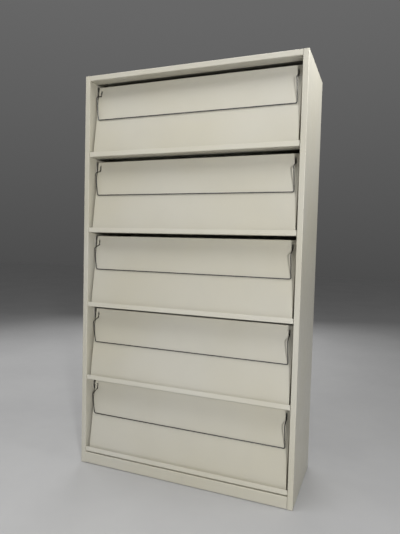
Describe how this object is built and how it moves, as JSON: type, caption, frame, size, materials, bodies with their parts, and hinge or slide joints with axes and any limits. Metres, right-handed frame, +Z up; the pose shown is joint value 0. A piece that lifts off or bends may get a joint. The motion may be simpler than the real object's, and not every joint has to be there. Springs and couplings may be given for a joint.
{
  "type": "magazine display cabinet",
  "caption": "Free-standing painted-steel display cabinet with tiers of hinged sloping flaps, each with a lipped tray, a swinging wire retaining bar and a storage shelf behind.",
  "frame": {"origin": "on the floor, in the middle of the footprint", "axes": "+Z up, the flaps face -Y, +X is to the right of a viewer who faces them"},
  "size_m": [1, 0.4, 1.79],
  "materials": {
    "case_paint": "satin warm grey-beige baked enamel",
    "flap_paint": "satin warm grey-beige baked enamel",
    "shelf_paint": "satin warm grey-beige baked enamel",
    "wire": "dull bright steel rod",
    "zinc": "zinc plated",
    "bush_plastic": "matt off-white nylon",
    "rubber": "matt black"
  },
  "bodies": {
    "cabinet": {"side_panel_left": "case_paint", "side_panel_right": "case_paint", "side_liner_left": "case_paint", "side_liner_right": "case_paint", "top_panel": "case_paint", "back_panel": "case_paint", "back_stiles": "case_paint", "plinth": "case_paint", "rear_base_rail": "case_paint", "levelling_feet": "rubber", "hinge_bushes": "bush_plastic", "flap_bumpers": "rubber", "bracket_screws": "zinc", "shelf_screws": "zinc", "back_panel_screws": "zinc", "shelf_1": "shelf_paint", "shelf_2": "shelf_paint", "shelf_3": "shelf_paint", "shelf_4": "shelf_paint", "shelf_5": "shelf_paint", "hinge_brackets_1": "zinc", "hinge_brackets_2": "zinc", "hinge_brackets_3": "zinc", "hinge_brackets_4": "zinc", "hinge_brackets_5": "zinc"},
    "flap_1": {"flap_panel_1": "flap_paint", "flap_back_1": "flap_paint", "flap_tray_1": "flap_paint", "hinge_pins_1": "zinc", "wire_eyes_1": "zinc"},
    "bar_1": {"wire_bar_1": "wire"},
    "flap_2": {"flap_panel_2": "flap_paint", "flap_back_2": "flap_paint", "flap_tray_2": "flap_paint", "hinge_pins_2": "zinc", "wire_eyes_2": "zinc"},
    "bar_2": {"wire_bar_2": "wire"},
    "flap_3": {"flap_panel_3": "flap_paint", "flap_back_3": "flap_paint", "flap_tray_3": "flap_paint", "hinge_pins_3": "zinc", "wire_eyes_3": "zinc"},
    "bar_3": {"wire_bar_3": "wire"},
    "flap_4": {"flap_panel_4": "flap_paint", "flap_back_4": "flap_paint", "flap_tray_4": "flap_paint", "hinge_pins_4": "zinc", "wire_eyes_4": "zinc"},
    "bar_4": {"wire_bar_4": "wire"},
    "flap_5": {"flap_panel_5": "flap_paint", "flap_back_5": "flap_paint", "flap_tray_5": "flap_paint", "hinge_pins_5": "zinc", "wire_eyes_5": "zinc"},
    "bar_5": {"wire_bar_5": "wire"}
  },
  "joints": [
    {"name": "flap_hinge_1", "type": "hinge", "parent": "cabinet", "child": "flap_1", "pos_m": [0, -0.12405, 1.73391], "axis": [-1, 0, 0], "range_deg": [0, 55]},
    {"name": "bar_hinge_1", "type": "hinge", "parent": "flap_1", "child": "bar_1", "pos_m": [0, -0.13401, 1.71818], "axis": [1, 0, 0], "range_deg": [-75, 0]},
    {"name": "flap_hinge_2", "type": "hinge", "parent": "cabinet", "child": "flap_2", "pos_m": [0, -0.12405, 1.39091], "axis": [-1, 0, 0], "range_deg": [0, 55]},
    {"name": "bar_hinge_2", "type": "hinge", "parent": "flap_2", "child": "bar_2", "pos_m": [0, -0.13401, 1.37518], "axis": [1, 0, 0], "range_deg": [-75, 0]},
    {"name": "flap_hinge_3", "type": "hinge", "parent": "cabinet", "child": "flap_3", "pos_m": [0, -0.12405, 1.04791], "axis": [-1, 0, 0], "range_deg": [0, 55]},
    {"name": "bar_hinge_3", "type": "hinge", "parent": "flap_3", "child": "bar_3", "pos_m": [0, -0.13401, 1.03218], "axis": [1, 0, 0], "range_deg": [-75, 0]},
    {"name": "flap_hinge_4", "type": "hinge", "parent": "cabinet", "child": "flap_4", "pos_m": [0, -0.12405, 0.70491], "axis": [-1, 0, 0], "range_deg": [0, 55]},
    {"name": "bar_hinge_4", "type": "hinge", "parent": "flap_4", "child": "bar_4", "pos_m": [0, -0.13401, 0.68918], "axis": [1, 0, 0], "range_deg": [-75, 0]},
    {"name": "flap_hinge_5", "type": "hinge", "parent": "cabinet", "child": "flap_5", "pos_m": [0, -0.12405, 0.36191], "axis": [-1, 0, 0], "range_deg": [0, 55]},
    {"name": "bar_hinge_5", "type": "hinge", "parent": "flap_5", "child": "bar_5", "pos_m": [0, -0.13401, 0.34618], "axis": [1, 0, 0], "range_deg": [-75, 0]}
  ]
}
